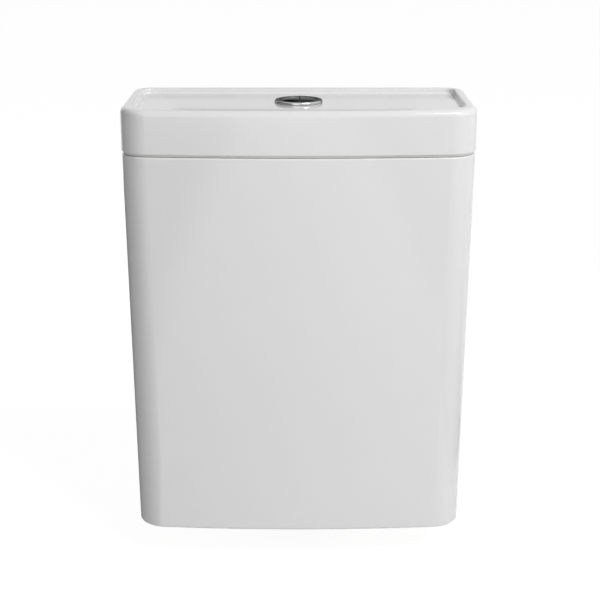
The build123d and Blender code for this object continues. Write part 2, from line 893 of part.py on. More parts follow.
def make_fill_head():
    shell = tube(fill_head_r, fill_head_bore_r, riser_top_z, fill_head_top_z)
    web = tube(fill_head_bore_r, fill_seat_r, riser_top_z, riser_top_z + riser_t)
    seat = tube(fill_seat_r + riser_t, fill_seat_r, riser_top_z, fill_head_top_z - diaphragm_t)
    spout_low_z = riser_top_z + riser_t
    spout = block(
        fill_seat_r + riser_t,
        delivery_offset_x,
        -delivery_r,
        delivery_r,
        spout_low_z,
        spout_low_z + 2 * delivery_r,
    )
    elbow = Pos(delivery_offset_x, 0, 0) * tube(
        delivery_r + delivery_t, 0, riser_top_z, spout_low_z + 2 * delivery_r
    )
    spout -= tube(fill_head_r - riser_t, 0, riser_top_z, fill_head_top_z)
    way = block(
        fill_head_r - riser_t - overrun,
        delivery_offset_x,
        delivery_t - delivery_r,
        delivery_r - delivery_t,
        spout_low_z + delivery_t,
        spout_low_z + 2 * delivery_r - delivery_t,
    )
    drop = Pos(delivery_offset_x, 0, 0) * tube(
        delivery_r, 0, riser_top_z - overrun, spout_low_z + 2 * delivery_r - delivery_t
    )
    head = shell + web + seat + spout + elbow - way - drop
    return at_fill(head)


def make_diaphragm():
    ring = tube(
        fill_head_bore_r - run_clear, 0, fill_head_top_z - diaphragm_t, fill_head_top_z
    )
    return at_fill(ring)


def make_fill_cap():
    """Cap on the head, with two ears that carry the lever's pin."""
    high_z = fill_head_top_z + fill_cap_t
    cap = tube(fill_head_r, 0, fill_head_top_z, high_z)
    for rib in range(fill_cap_ribs):
        grip = Pos(fill_head_r, 0, 0) * tube(fill_cap_rib_r, 0, fill_head_top_z, high_z)
        cap += Rot(0, 0, 360 * rib / fill_cap_ribs) * grip
    ear_r = lever_pivot_lift / 2
    for side in (-1, 1):
        inner = side * (lever_w / 2 + touch_clear)
        outer = inner + side * lever_ear_t
        ear = block(
            min(inner, outer),
            max(inner, outer),
            lever_pivot_y - 2 * ear_r,
            lever_pivot_y,
            high_z - fill_cap_t,
            lever_pivot_z,
        )
        ear += cross_rod(ear_r, min(inner, outer), max(inner, outer), lever_pivot_y, lever_pivot_z)
        ear += block(
            min(inner, outer),
            max(inner, outer),
            lever_pivot_y - 2 * ear_r,
            lever_pivot_y + ear_r,
            high_z,
            lever_pivot_z,
        )
        cap += ear
    reach = lever_w + lever_ear_t + overrun
    cap -= cross_rod(lever_pin_r + run_clear, -reach, reach, lever_pivot_y, lever_pivot_z)
    return at_fill(cap)


def make_lever_pin():
    reach = lever_w / 2 + touch_clear + lever_ear_t + slot_clear
    return at_fill(cross_rod(lever_pin_r, -reach, reach, lever_pivot_y, lever_pivot_z))


def make_lever():
    """Float lever with the float down: its free end hangs below the pivot."""
    half_w = lever_w / 2
    half_t = lever_t / 2
    end = lever_arm / cos(lever_swing)
    bar = block(-half_w, half_w, -end, 0, -half_t, half_t)
    hub = cross_rod(lever_pivot_lift / 2 - slot_clear, -half_w, half_w, 0, 0)
    eye = Pos(0, -end, 0) * tube(half_w + lever_slot_half, 0, -half_t, half_t)
    slot_r = float_rod_r + lever_slot_half
    slot = Pos(0, -end, 0) * tube(slot_r, 0, -lever_t, lever_t)
    lever = bar + hub + eye - slot
    lever -= cross_rod(lever_pin_r + run_clear, -lever_w, lever_w, 0, 0)
    turned_lever = Rot(degrees(lever_swing), 0, 0) * lever
    return at_fill(Pos(0, lever_pivot_y, lever_pivot_z) * turned_lever)


lever_end_z = lever_pivot_z - float_travel / 2
collar_half_gap = lever_t / 2 + rod_collar_gap
float_top_z = float_z + float_h
rod_collar_low_z = lever_end_z - collar_half_gap - rod_collar_t
rod_collar_high_z = lever_end_z + collar_half_gap


def make_float():
    """Inverted cup round the riser, closed on top, open below."""
    inner_r = riser_r + float_clear
    outer = tube(float_r, inner_r, float_z, float_top_z)
    rim = outer.edges().filter_by(GeomType.CIRCLE).group_by(Axis.Z)[-1]
    outer = fillet(rim.sort_by(SortBy.RADIUS)[-1], float_t)
    hollow = tube(float_r - float_t, inner_r + float_t, float_z, float_top_z - float_t)
    boss = Pos(0, float_rod_y, 0) * tube(
        float_rod_r + float_t, 0, float_top_z - 2 * float_t, float_top_z + float_t
    )
    cup = outer - hollow + boss
    cup -= Pos(0, float_rod_y, 0) * tube(
        float_rod_r, 0, float_top_z - float_t - overrun, float_top_z + float_t + overrun
    )
    return at_fill(cup)


def make_float_rod():
    rod = tube(
        float_rod_r, 0, float_top_z - 2 * float_t, rod_collar_high_z + rod_collar_t + overrun
    )
    return at_fill(Pos(0, float_rod_y, 0) * rod)


def make_rod_collars():
    collars = []
    for low_z in (rod_collar_low_z, rod_collar_high_z):
        collar = tube(rod_collar_r, float_rod_r, low_z, low_z + rod_collar_t)
        collars.append(at_fill(Pos(0, float_rod_y, 0) * collar))
    return Compound(children=collars)


def make_delivery_tube():
    high_z = riser_top_z + riser_t + delivery_r
    pipe = tube(delivery_r - run_clear, delivery_r - delivery_t, delivery_bottom_z, high_z)
    return at_fill(Pos(delivery_offset_x, 0, 0) * pipe)


def make_ring_washer(outer_r, inner_r, low_z, high_z, x):
    return Pos(x, 0, 0) * tube(outer_r, inner_r, low_z, high_z)


# Blanking plug in the second inlet hole
def make_plug():
    x = inlet_offset_x
    high_z = fill_flange_z + plug_flange_t
    shank = threaded(plug_r, shank_thread_depth, shank_pitch, -fill_nut_t - plug_flange_t, 0)
    neck = tube(plug_r, 0, 0, fill_flange_z)
    flange = tube(plug_flange_r, 0, fill_flange_z, high_z)
    half = plug_cross_w / 2
    reach = plug_flange_r - plug_cross_w
    bar = block(-reach, reach, -half, half, high_z, high_z + plug_cross_h)
    return Pos(x, 0, 0) * (shank + neck + flange + bar + Rot(0, 0, 90) * bar)


# Pan fixing studs, with their heads in the tank and free ends below the base
cone_top_z = floor_t + cone_t
head_seat_z = cone_top_z + stud_washer_t


def at_both_studs(shape):
    return Compound(children=[Pos(side * pan_half_pitch, 0, 0) * shape for side in (-1, 1)])


def make_studs():
    head = hexagon(stud_head_flat_r, head_seat_z, head_seat_z + stud_head_t)
    plain_z = -stud_washer_t - stud_nut_t - slot_clear
    plain = tube(stud_r, 0, -stud_drop, plain_z)
    plain = chamfer(plain.edges().filter_by(GeomType.CIRCLE).sort_by(Axis.Z)[0], stud_lead)
    thread = threaded(stud_r, stud_thread_depth, stud_pitch, plain_z, head_seat_z)
    return at_both_studs(head + plain + thread)


def make_cone_washers():
    bore_r = stud_r + touch_clear
    body = [
        (bore_r, floor_t - cone_nose_drop),
        (cone_nose_r - touch_clear, floor_t - cone_nose_drop),
        (cone_nose_r, floor_t),
        (cone_r, floor_t),
        (cone_r, floor_t + cone_t / 2),
        (cone_r - cone_t / 2, cone_top_z),
        (bore_r, cone_top_z),
    ]
    return at_both_studs(turned(body))


def make_stud_washers():
    bore_r = stud_r + loose_clear
    high = tube(stud_washer_r - loose_clear, bore_r, cone_top_z, head_seat_z)
    low = tube(stud_washer_r, bore_r, -stud_washer_t, 0)
    return Compound(children=[at_both_studs(high), at_both_studs(low)])


def make_stud_nuts():
    low_z = -stud_washer_t - stud_nut_t
    nut = hexagon(stud_nut_flat_r, low_z, -stud_washer_t)
    return at_both_studs(nut - tube(stud_r + run_clear, 0, low_z, -stud_washer_t))


save(make_body(), "cistern_body")
save(make_lid(), "cistern_lid")
save(make_pads(), "lid_pads")

save(make_valve_base(), "flush_valve_base")
save(
    tube(valve_washer_r, tail_r + run_clear, floor_t, valve_flange_z),
    "flush_valve_washer",
)
save(
    make_backnut(backnut_flat_r, tail_r + run_clear, backnut_t, backnut_edge_r),
    "flush_valve_backnut",
)
save(make_coupling_gasket(), "coupling_gasket")
save(make_tower(), "flush_valve_tower")
save(make_head(), "flush_valve_head")
save(make_rocker_pin(), "rocker_pin")
save(make_bushes(), "rocker_bushes")
save(make_rocker(-rod_x), "full_flush_rocker")
save(make_rocker(rod_x), "half_flush_rocker")
save(make_overflow_tube(), "overflow_tube")
save(make_seal_holder(), "seal_holder")
save(tube(seal_r, overflow_r, seal_low_z, holder_z), "valve_seal")
save(make_half_rod(), "half_flush_rod")
save(make_half_float(), "half_flush_float")

save(make_bezel(), "button_bezel")
save(make_bezel_gasket(), "bezel_gasket")
save(make_ring_nut(), "bezel_ring_nut")
for side, name in ((-1, "full"), (1, "half")):
    save(make_button(side), name + "_flush_button")
    save(make_spring(side), name + "_button_spring")
    save(make_push_rod(side), name + "_push_rod")
    save(make_rod_nut(side), name + "_rod_nut")

save(make_shank(), "fill_valve_riser")
save(
    make_ring_washer(fill_washer_r, shank_r + run_clear, floor_t, fill_flange_z, -inlet_offset_x),
    "fill_valve_washer",
)
save(
    at_fill(make_backnut(fill_nut_flat_r, shank_r + run_clear, fill_nut_t, slot_clear)),
    "fill_valve_backnut",
)
save(make_filter(), "inlet_filter")
save(make_fill_head(), "fill_valve_head")
save(make_diaphragm(), "fill_diaphragm")
save(make_fill_cap(), "fill_valve_cap")
save(make_lever_pin(), "float_lever_pin")
save(make_lever(), "float_lever")
save(make_float(), "fill_float")
save(make_float_rod(), "float_rod")
save(make_rod_collars(), "float_rod_collars")
save(make_delivery_tube(), "delivery_tube")

save(make_plug(), "blanking_plug")
save(
    make_ring_washer(plug_flange_r, plug_r + run_clear, floor_t, fill_flange_z, inlet_offset_x),
    "blanking_washer",
)
save(
    Pos(inlet_offset_x, 0, 0) * make_backnut(fill_nut_flat_r, plug_r + run_clear, fill_nut_t, slot_clear),
    "blanking_nut",
)
save(make_studs(), "pan_studs")
save(make_cone_washers(), "stud_cone_washers")
save(make_stud_washers(), "stud_washers")
save(make_stud_nuts(), "stud_nuts")

print("button spring least gap", round(spring_gap(), 3))
print("rocker swing deg", round(degrees(2 * rocker_swing), 4), "plunger lift", round(lift, 4))
print("float lever swing deg", round(degrees(2 * lever_swing), 4))
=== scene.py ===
import bmesh
import bpy
from math import cos, pi, radians, sin
from mathutils import Matrix, Vector


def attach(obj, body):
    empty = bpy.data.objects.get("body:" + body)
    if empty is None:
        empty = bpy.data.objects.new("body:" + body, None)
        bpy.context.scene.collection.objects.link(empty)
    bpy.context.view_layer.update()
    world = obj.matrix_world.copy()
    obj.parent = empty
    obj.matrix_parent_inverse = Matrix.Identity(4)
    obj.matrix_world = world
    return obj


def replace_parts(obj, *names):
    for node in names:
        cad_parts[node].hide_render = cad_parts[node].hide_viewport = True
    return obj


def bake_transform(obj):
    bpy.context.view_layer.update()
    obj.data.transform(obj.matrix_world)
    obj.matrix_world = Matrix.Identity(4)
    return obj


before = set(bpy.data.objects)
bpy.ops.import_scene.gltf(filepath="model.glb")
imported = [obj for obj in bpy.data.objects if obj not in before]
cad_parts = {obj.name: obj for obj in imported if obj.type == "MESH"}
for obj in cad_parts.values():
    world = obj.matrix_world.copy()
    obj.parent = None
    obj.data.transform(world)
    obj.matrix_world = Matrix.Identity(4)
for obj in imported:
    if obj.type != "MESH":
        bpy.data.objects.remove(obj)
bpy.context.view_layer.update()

# Camera. It stands a long step in front of the cistern and looks a little down on the
# lid, so that the sunk top and the button show.
camera_lens = 83.5
camera_film_w = 36.0
camera_reach = 100.0
camera_place = (0.0013, -1.381, 0.643)
camera_tilt = radians(73.0)
scene = bpy.context.scene
scene.view_settings.view_transform = "Standard"
camera_data = bpy.data.cameras.new("camera")
camera_data.lens = camera_lens
camera_data.sensor_width = camera_film_w
camera_data.clip_end = camera_reach
camera = bpy.data.objects.new("camera", camera_data)
camera.location = camera_place
camera.rotation_euler = (camera_tilt, 0.0, 0.0)
scene.collection.objects.link(camera)
scene.camera = camera


# Room: a white floor that runs out of view, under and behind the cistern. It shows
# white to the camera and in reflections, and still takes the cistern's soft shadow.
class Strand:
    """One output socket in a material. Numbers and other strands can be added to it,
    taken from it and multiplied with it, which adds Math nodes."""

    def __init__(self, tree, socket=None):
        self.tree = tree
        self.socket = socket

    def node(self, kind, settings=None, inputs=None, out=0):
        """Add a node of any other kind: its settings first, then its sockets."""
        made = self.tree.nodes.new(kind)
        for name, value in (settings or {}).items():
            setattr(made, name, value)
        for key, value in (inputs or {}).items():
            if isinstance(value, Strand):
                self.tree.links.new(value.socket, made.inputs[key])
            else:
                made.inputs[key].default_value = value
        return Strand(self.tree, made.outputs[out] if made.outputs else None)

    def maths(self, operation, first, second, clamp=False):
        settings = {"operation": operation, "use_clamp": clamp}
        return self.node("ShaderNodeMath", settings, {0: first, 1: second})

    def __add__(self, other):
        return self.maths("ADD", self, other)

    def __sub__(self, other):
        return self.maths("SUBTRACT", self, other)

    def __mul__(self, other):
        return self.maths("MULTIPLY", self, other)

    def __rsub__(self, other):
        return self.maths("SUBTRACT", other, self)

    def __abs__(self):
        return self.maths("ABSOLUTE", self, 0.0)

    __radd__ = __add__

    def above(self, edge, width):
        """0 below the edge and 1 above it, with a soft step of that width."""
        return self.maths("MULTIPLY", self - edge, 1.0 / width, clamp=True)

    def below(self, edge, width):
        """1 below the edge and 0 above it, with a soft step of that width."""
        return 1.0 - self.above(edge - width, width)

    def place(self):
        """Where a point lies, in metres."""
        return self.node("ShaderNodeTexCoord", out="Object")

    def axis(self, letter):
        """One of the three numbers of a place or a direction."""
        return self.node("ShaderNodeSeparateXYZ", inputs={0: self}, out=letter)

    def noise(self, scale, detail):
        """Soft clouds from 0 to 1 over this place."""
        inputs = {"Vector": self, "Scale": scale, "Detail": detail}
        return self.node("ShaderNodeTexNoise", inputs=inputs)

    def cells(self, scale):
        """How far this place is from the nearest of many scattered points."""
        return self.node("ShaderNodeTexVoronoi", inputs={"Vector": self, "Scale": scale})

    def tint(self, low, high):
        """A colour between two others, with this strand as the share of the second."""
        low, high = [end if isinstance(end, Strand) else (*end, 1.0) for end in (low, high)]
        ends = {0: self, 6: low, 7: high}
        return self.node("ShaderNodeMix", {"data_type": "RGBA"}, ends, 2)

    def bumped(self, unit=0.001):
        """A bumped surface with this strand as its height, in mm or another unit."""
        inputs = {"Height": self, "Strength": 1.0, "Distance": unit}
        return self.node("ShaderNodeBump", inputs=inputs)


def new_finish(name):
    """An empty material, and a strand to add its nodes with."""
    material = bpy.data.materials.new(name)
    material.use_nodes = True
    material.node_tree.nodes.clear()
    return material, Strand(material.node_tree)


def close_finish(shader):
    """Lead the last shader to the material's output."""
    shader.node("ShaderNodeOutputMaterial", inputs={"Surface": shader})


def grey(tone):
    """A colour without hue, with its alpha."""
    return (tone, tone, tone, 1.0)


def white_behind(start):
    """1 for rays from the camera and for reflections, 0 for the light on the cistern."""
    kind = "ShaderNodeLightPath"
    seen = start.node(kind, out="Is Camera Ray") + start.node(kind, out="Is Glossy Ray")
    return start.maths("ADD", seen, start.node(kind, out="Is Transmission Ray"), clamp=True)


def new_object(name, shape, finish):
    """Turn a modelled shape into an object of the scene, with its finish."""
    mesh = bpy.data.meshes.new(name)
    shape.to_mesh(mesh)
    shape.free()
    mesh.materials.append(finish)
    made = bpy.data.objects.new(name, mesh)
    scene.collection.objects.link(made)
    return made


floor_z = -0.0362
floor_half = 30.0
floor_tone = 0.8
shade_tone = 0.15
floor_glow = 0.945
paper, start = new_finish("studio_paper")
matt = start.node("ShaderNodeBsdfDiffuse", inputs={"Color": grey(floor_tone)})
shade = start.node("ShaderNodeBsdfDiffuse", inputs={"Color": grey(shade_tone)})
glow = start.node("ShaderNodeEmission", inputs={"Color": grey(1.0), "Strength": floor_glow})
lit = start.node("ShaderNodeAddShader", inputs={0: shade, 1: glow})
close_finish(start.node("ShaderNodeMixShader", inputs={0: white_behind(start), 1: matt, 2: lit}))
shape = bmesh.new()
bmesh.ops.create_grid(shape, x_segments=1, y_segments=1, size=floor_half)
bmesh.ops.translate(shape, vec=(0.0, 0.0, floor_z), verts=shape.verts)
floor = new_object("studio_floor", shape, paper)


# Light: a pale room all round and one large soft lamp high at the front right, so the
# left corner falls into shade. A weak lamp in front evens out the lower half.
room_strength = 0.27
backdrop_strength = 1.0
lamp_aim = (0.0, 0.0, 0.2)
key_place, key_size, key_power = (1.15, -1.25, 1.85), (1.1, 1.1), 36.0
front_place, front_size, front_power = (-0.35, -2.4, 0.5), (1.2, 1.0), 4.5
world = bpy.data.worlds.new("studio")
world.use_nodes = True
world.node_tree.nodes.clear()
scene.world = world
start = Strand(world.node_tree)
room, backdrop = [
    start.node("ShaderNodeBackground", inputs={"Color": grey(1.0), "Strength": strength})
    for strength in (room_strength, backdrop_strength)
]
view = start.node("ShaderNodeMixShader", inputs={0: white_behind(start), 1: room, 2: backdrop})
start.node("ShaderNodeOutputWorld", inputs={"Surface": view})


def soft_lamp(name, place, size, power):
    """A rectangular softbox at a place, turned to the cistern."""
    data = bpy.data.lights.new(name, "AREA")
    data.shape = "RECTANGLE"
    data.size, data.size_y = size
    data.energy = power
    lamp = bpy.data.objects.new(name, data)
    lamp.location = place
    lamp.rotation_euler = (Vector(lamp_aim) - Vector(place)).to_track_quat("-Z", "Y").to_euler()
    scene.collection.objects.link(lamp)


soft_lamp("key_lamp", key_place, key_size, key_power)
soft_lamp("front_lamp", front_place, front_size, front_power)


# Boards: cards out of view that only show as reflections. A pale one behind the cistern
# tones the sunk deck, a small dark one darkens the chrome, and the ones at the sides draw
# the edges of the corners.
rear_y, rear_half_w, rear_high_z = 1.5, 1.8, 0.72
rear_tones = (0.94, 0.90)
button_y = 0.5
button_low_x, button_high_x = -0.17, 0.16
button_low_z, button_high_z = 0.53, 0.95
button_tones = (0.0, 0.26)
button_ramp = (-0.02, 0.005)
card_lift = 0.001
card_end = 4.0
left_tone, right_tone = 0.03, 0.35
left_edge = [(-0.37, -card_end), (-0.37, -1.0), (-0.173, -0.085), (-0.177, 0.0), (-0.24, 0.4),
             (-0.30, card_end)]
left_x, left_front_y, left_rear_y = -1.6, -2.6, 1.6
left_low_z, left_high_z = -0.03, 1.8
right_x, right_rear_y = 0.36, 0.2


def board(name, corners, tones, ramp=(-rear_half_w, rear_half_w)):
    """A flat card seen by reflections alone. Its tone changes from left to right over the
    ramp."""
    material, start = new_finish(name)
    share = start.place().axis("X").above(ramp[0], ramp[1] - ramp[0])
    tone = share.tint((tones[0],) * 3, (tones[1],) * 3)
    close_finish(start.node("ShaderNodeEmission", inputs={"Color": tone, "Strength": 1.0}))
    shape = bmesh.new()
    shape.faces.new([shape.verts.new(corner) for corner in corners])
    card = new_object(name, shape, material)
    card.visible_camera = False
    card.visible_diffuse = False
    card.visible_shadow = False
    card.visible_transmission = False


def upright(low_x, high_x, y, low_z, high_z):
    """The corners of a board that stands across the view."""
    return [(low_x, y, low_z), (high_x, y, low_z), (high_x, y, high_z), (low_x, y, high_z)]


def lying(outline):
    """The corners of a card that lies on the floor."""
    return [(x, y, floor_z + card_lift) for x, y in outline]


board("low_rear_board", upright(-rear_half_w, rear_half_w, rear_y, 0.0, rear_high_z), rear_tones)
board("button_board", upright(button_low_x, button_high_x, button_y, button_low_z, button_high_z),
      button_tones, button_ramp)
board("left_card", lying([(-card_end, -card_end), *left_edge, (-card_end, card_end)]),
      (left_tone, left_tone))
board("left_board", [
    (left_x, left_front_y, left_low_z), (left_x, left_rear_y, left_low_z),
    (left_x, left_rear_y, left_high_z), (left_x, left_front_y, left_high_z),
], (left_tone, left_tone))
board("right_card", lying([
    (right_x, -card_end), (card_end, -card_end), (card_end, right_rear_y), (right_x, right_rear_y),
]), (right_tone, right_tone))


# Cistern casting: one slip-cast piece of vitreous china, glazed white inside and out. The
# foot is wiped bare before firing, so its underside stays matt and a little warmer.
glaze_dark, glaze_light = (0.80, 0.80, 0.80), (0.82, 0.82, 0.821)
clay_dark, clay_light = (0.60, 0.56, 0.50), (0.74, 0.70, 0.63)
glaze_rough, bare_extra_rough = 0.07, 0.65
peel_depth, clay_depth = 0.006, 0.1
china_ior = 1.5
body_bare_z = 0.0012


def dress(finish, *nodes):
    """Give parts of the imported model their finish."""
    for node in nodes:
        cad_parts[node].material_slots[0].material = finish


def coat(start, colour, rough, relief, **sockets):
    """End a material in one shader, with its other sockets by their names."""
    named = {name.replace("_", " "): value for name, value in sockets.items()}
    main = {"Base Color": colour, "Roughness": rough, "Normal": relief}
    close_finish(start.node("ShaderNodeBsdfPrincipled", inputs={**main, **named}))


def china(name, bare_z):
    """Thick white glaze, bare and matt up to the given height where it faces down."""
    material, start = new_finish(name)
    spot = start.place()
    facing = start.node("ShaderNodeNewGeometry", out="Normal").axis("Z")
    bare = spot.axis("Z").below(bare_z, width=0.0006) * facing.below(-0.6, width=0.3)
    pool = spot.noise(scale=9.0, detail=2.0)
    peel = spot.noise(scale=160.0, detail=1.0)
    grain = spot.noise(scale=2600.0, detail=4.0)
    specks = spot.cells(scale=420.0).below(0.12, width=0.05)
    clay = (grain - specks * 0.6).tint(clay_dark, clay_light)
    colour = bare.tint(pool.tint(glaze_dark, glaze_light), clay)
    rough = glaze_rough + pool * 0.06 + bare * bare_extra_rough
    relief = peel * peel_depth * (1.0 - bare) + grain * clay_depth * bare
    coat(start, colour, rough, relief.bumped(), IOR=china_ior)
    return material


body_glaze = china("cistern_glaze", body_bare_z)
dress(body_glaze, "cistern_body")


# Coupling gasket and valve washers: black rubber, the big one a soft closed-cell foam
# that the pan's mouth squeezes, and the others pressed flat rings on the tank floor.
coal_dark, coal_light = (0.012, 0.012, 0.013), (0.036, 0.036, 0.038)
foam_light = (0.05, 0.05, 0.052)
bloom_depth = 0.01
rubber_ior = 1.5


def rubber(name, dark, light, rough, pore_scale=2400.0, pore_depth=0.012):
    """Matt rubber with a dry bloom, and pores of the given scale and depth in mm."""
    material, start = new_finish(name)
    spot = start.place()
    bloom = spot.noise(scale=120.0, detail=5.0)
    pores = spot.cells(pore_scale)
    colour = (bloom * 0.6 + pores * 0.5).tint(dark, light)
    relief = pores * pore_depth + bloom * bloom_depth
    coat(start, colour, rough + bloom * 0.15, relief.bumped(), IOR=rubber_ior)
    return material


black_rubber = rubber("black_rubber", coal_dark, coal_light, 0.6)
foam_rubber = rubber("foam_rubber", coal_dark, foam_light, 0.8, 900.0, 0.25)
dress(foam_rubber, "coupling_gasket")
dress(black_rubber, "flush_valve_washer", "fill_valve_washer", "blanking_washer")


# Flush valve base and back nut: the base is white acetal with the seat moulded in, and
# its tail goes down through the casting, where a glass-filled back nut pulls it tight.
acetal_dark, acetal_light = (0.69, 0.69, 0.67), (0.77, 0.77, 0.755)
slate_dark, slate_light = (0.15, 0.16, 0.17), (0.20, 0.21, 0.22)
blue_dark, blue_light = (0.013, 0.065, 0.19), (0.022, 0.09, 0.25)
grain_depth, seam_depth, weld_depth = 0.009, 0.02, 0.25
seam_half_w, seam_edge = 0.00018, 0.00012
weld_half_w, weld_edge = 0.0006, 0.0005
plastic_ior = 1.48


def moulded(name, dark, light, rough, seam_x=0.0, weld_z=None, ink=None, sparkle=0.0):
    """Satin plastic with flow marks, spark-eroded grain and the tool's parting line. It
    may have a welded joint at a height and inked marks; relief is in mm."""
    material, start = new_finish(name)
    spot = start.place()
    flow = spot.noise(scale=38.0, detail=3.0)
    grain = spot.noise(scale=3200.0, detail=2.0)
    seam = abs(spot.axis("X") - seam_x).below(seam_half_w, seam_edge)
    relief = grain * grain_depth + seam * seam_depth
    colour = (flow - sparkle + grain * sparkle * 2.0).tint(dark, light)
    if weld_z is not None:
        weld = abs(spot.axis("Z") - weld_z).below(weld_half_w, weld_edge)
        relief = relief + weld * weld_depth
    if ink is not None:
        marks, tone = ink(spot)
        colour = marks.tint(colour, tone)
    coat(start, colour, rough - 0.05 + grain * 0.1, relief.bumped(), IOR=plastic_ior)
    return material


base_acetal = moulded("valve_base_acetal", acetal_dark, acetal_light, 0.36)
nut_nylon = moulded("back_nut_nylon", slate_dark, slate_light, 0.48, sparkle=0.35)
dress(base_acetal, "flush_valve_base")
dress(nut_nylon, "flush_valve_backnut")


# Flush valve tower and head: acetal mouldings that snap on the base. Blue ticks inked up
# the tower's front show the water level, one each centimetre and a long one each fifth.
tick_step = 0.01
tick_low_z, tick_high_z = 0.104, 0.226
tick_half_t, short_half_w, long_half_w = 0.0005, 0.0035, 0.007
tick_edge = 0.0002
tick_rear_y, tick_rear_edge = -0.02, 0.0005
tick_blue = (0.02, 0.08, 0.24)


def level_ticks(spot):
    """Ticks across the front of the tower, and the ink's colour."""
    across, height = abs(spot.axis("X")), spot.axis("Z")
    near_tick = spot.maths("PINGPONG", height, tick_step / 2)
    near_fifth = spot.maths("PINGPONG", height, 5 * tick_step / 2)
    short = near_tick.below(tick_half_t, tick_edge) * across.below(short_half_w, tick_edge)
    long = near_fifth.below(tick_half_t, tick_edge) * across.below(long_half_w, tick_edge)
    column = height.above(tick_low_z, tick_edge) * height.below(tick_high_z, tick_edge)
    front = spot.axis("Y").below(tick_rear_y, tick_rear_edge)
    return spot.maths("MAXIMUM", short, long) * column * front, tick_blue


tower_acetal = moulded("tower_acetal", acetal_dark, acetal_light, 0.34, ink=level_ticks)
head_blue = moulded("head_blue_polypropylene", blue_dark, blue_light, 0.38)
dress(tower_acetal, "flush_valve_tower")
dress(head_blue, "flush_valve_head")


# Rockers on their pin: two grey levers turn on a zinc-plated steel pin between the head's
# cheeks, kept under their push rods by acetal spacer bushes.
zinc_dark, zinc_light = (0.50, 0.51, 0.50), (0.64, 0.65, 0.62)


def metal(name, dark, light, rough, cloud_scale, cloud, ripple):
    """Metal with cloudy tone and polish, and a fine ripple given in mm."""
    material, start = new_finish(name)
    spot = start.place()
    clouds = spot.noise(cloud_scale, detail=4.0)
    grain = spot.noise(scale=2200.0, detail=2.0)
    colour = clouds.tint(dark, light)
    coat(start, colour, rough + clouds * cloud, (grain * ripple).bumped(), Metallic=1.0)
    return material


rocker_grey = moulded("rocker_grey_acetal", slate_dark, slate_light, 0.32, sparkle=0.1)
bush_acetal = moulded("bush_acetal", acetal_dark, acetal_light, 0.30)
zinc = metal("zinc_plate", zinc_dark, zinc_light, 0.22, 260.0, 0.2, 0.025)
dress(rocker_grey, "full_flush_rocker", "half_flush_rocker")
dress(bush_acetal, "rocker_bushes")
dress(zinc, "rocker_pin")


# Overflow tube with its seal: a grey pipe that is the lifting rod too. A blue holder screwed
# to its foot carries the red silicone seal that closes the seat.
silicone_dark, silicone_light = (0.28, 0.03, 0.022), (0.40, 0.055, 0.04)
tube_grey = moulded("overflow_grey_polypropylene", slate_dark, slate_light, 0.40, sparkle=0.05)
holder_blue = moulded("holder_blue_polypropylene", blue_dark, blue_light, 0.42)
seal_red = rubber("seal_red_silicone", silicone_dark, silicone_light, 0.38, 1500.0, 0.004)
dress(tube_grey, "overflow_tube")
dress(holder_blue, "seal_holder")
dress(seal_red, "valve_seal")


# Half flush float on its rod: the float is two blue cups, hot-plate welded at the middle,
# clipped on a grey rod that hooks over the half flush rocker.
half_weld_z = 0.147
half_rod_x = 0.018
half_float_blue = moulded("half_float_blue", blue_dark, blue_light, 0.36, half_rod_x, half_weld_z)
half_rod_grey = moulded("half_rod_grey", slate_dark, slate_light, 0.36, half_rod_x)
dress(half_float_blue, "half_flush_float")
dress(half_rod_grey, "half_flush_rod")


# Fill valve body: a white riser with its threaded shank through the casting, a head with
# the seat, a rubber diaphragm and a ribbed screw cap, held by a back nut below.
fill_x = -0.115
riser_r, riser_bore_r, riser_high_z = 0.012, 0.010, 0.262
flange_r, flange_low_z, flange_high_z, flange_edge = 0.020, 0.015, 0.020, 0.0006
shank_r, shank_bore_r, shank_low_z = 0.01048, 0.0065, -0.032
shank_pitch, shank_depth, shank_lead = 0.00181, 0.0008, 0.0008
weld_gap = 0.000001
ridge_foot_share, ridge_width_share = 1.1, 0.9


def own_piece(name, shape, finish, body, sharp=40.0):
    """Close a modelled shape's seams, turn its faces outwards and mount it on a body."""
    bmesh.ops.remove_doubles(shape, verts=shape.verts, dist=weld_gap)
    bmesh.ops.recalc_face_normals(shape, faces=shape.faces)
    piece = new_object(name, shape, finish)
    piece.data.polygons.foreach_set("use_smooth", [True] * len(piece.data.polygons))
    piece.data.set_sharp_from_angle(angle=radians(sharp))
    if body:
        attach(piece, body)
    return piece


def points_in(geom):
    """The points among the points, edges and faces that an operator made."""
    return [item for item in geom if isinstance(item, bmesh.types.BMVert)]


def turned_bar(shape, place, outline, steps=32, ring=False):
    """Solid or ring turned about an upright line at a place, from radius and height pairs."""
    verts = [shape.verts.new((place[0] + radius, place[1], height)) for radius, height in outline]
    after = verts[1:] + verts[:1] if ring else verts[1:]
    edges = [shape.edges.new(pair) for pair in zip(verts, after)]
    bmesh.ops.spin(
        shape, geom=verts + edges, cent=(*place, 0.0), axis=(0.0, 0.0, 1.0), dvec=(0.0, 0.0, 0.0),
        angle=2.0 * pi, steps=steps, use_merge=True, use_duplicate=False,
    )


